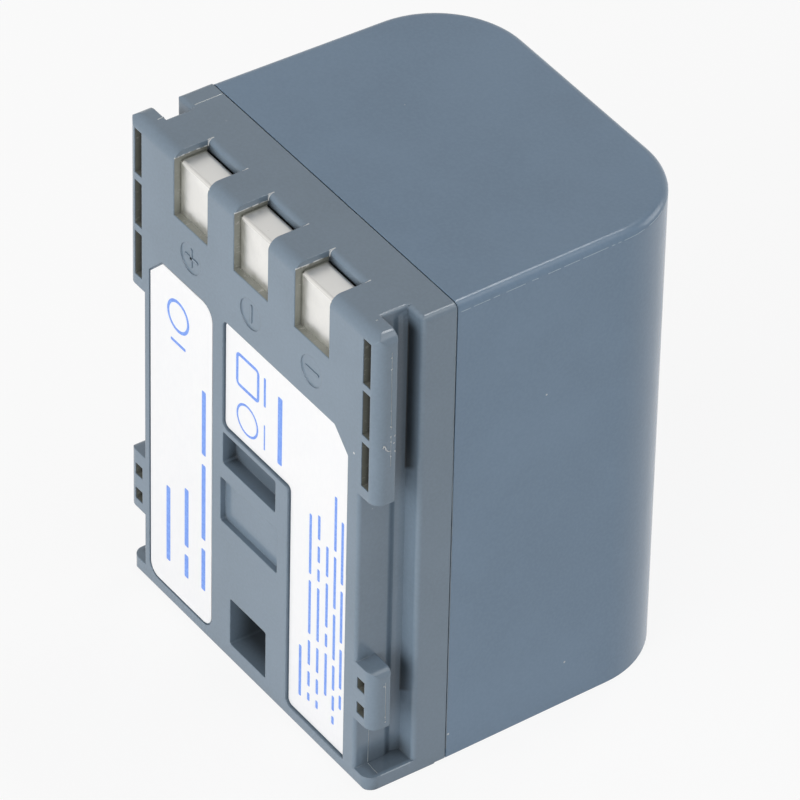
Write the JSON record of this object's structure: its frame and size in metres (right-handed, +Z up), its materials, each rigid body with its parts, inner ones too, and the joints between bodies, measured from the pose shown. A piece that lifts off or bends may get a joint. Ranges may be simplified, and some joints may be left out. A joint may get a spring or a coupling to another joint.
{
  "type": "camera battery",
  "caption": "Block-shaped slate-grey rechargeable camera battery with side rails, recessed contacts over the top edge, white labels and rounded back corners.",
  "frame": {"origin": "middle of the base, on the surface that the pack stands on", "axes": "+X across the label face, +Y from the label face to the back, +Z up to the contact end"},
  "size_m": [0.034, 0.031, 0.0452],
  "materials": {
    "front_plastic": "fine moulded slate grey",
    "rear_plastic": "fine moulded slate grey, a little bluer",
    "label_film": "white printed film",
    "contact_metal": "nickel plate, satin",
    "board": "green solder mask",
    "chip_resin": "black moulded resin",
    "chip_ceramic": "tan ceramic chip",
    "strap_metal": "nickel strip",
    "insulating_paper": "fibre paper",
    "foam": "closed-cell foam",
    "cell_can": "drawn can",
    "tape": "thin double-sided tape"
  },
  "bodies": {
    "root": {"base_pad": "foam", "board_pad": "foam", "cell_1": "cell_can", "cell_2": "cell_can", "cell_3": "cell_can", "cell_4": "cell_can", "cell_tape_1": "tape", "cell_tape_2": "tape", "cell_tape_3": "tape", "chip_parts": "chip_ceramic", "circuit_board": "board", "contact_negative": "contact_metal", "contact_positive": "contact_metal", "contact_sense": "contact_metal", "front_shell": "front_plastic", "label_left": "label_film", "label_right": "label_film", "lid_insulator": "insulating_paper", "protection_chip": "chip_resin", "rear_pad": "foam", "rear_shell": "rear_plastic", "strap_middle": "strap_metal", "strap_negative": "strap_metal", "strap_positive": "strap_metal", "switch_transistors": "chip_resin", "thermistor": "chip_resin"}
  },
  "joints": []
}
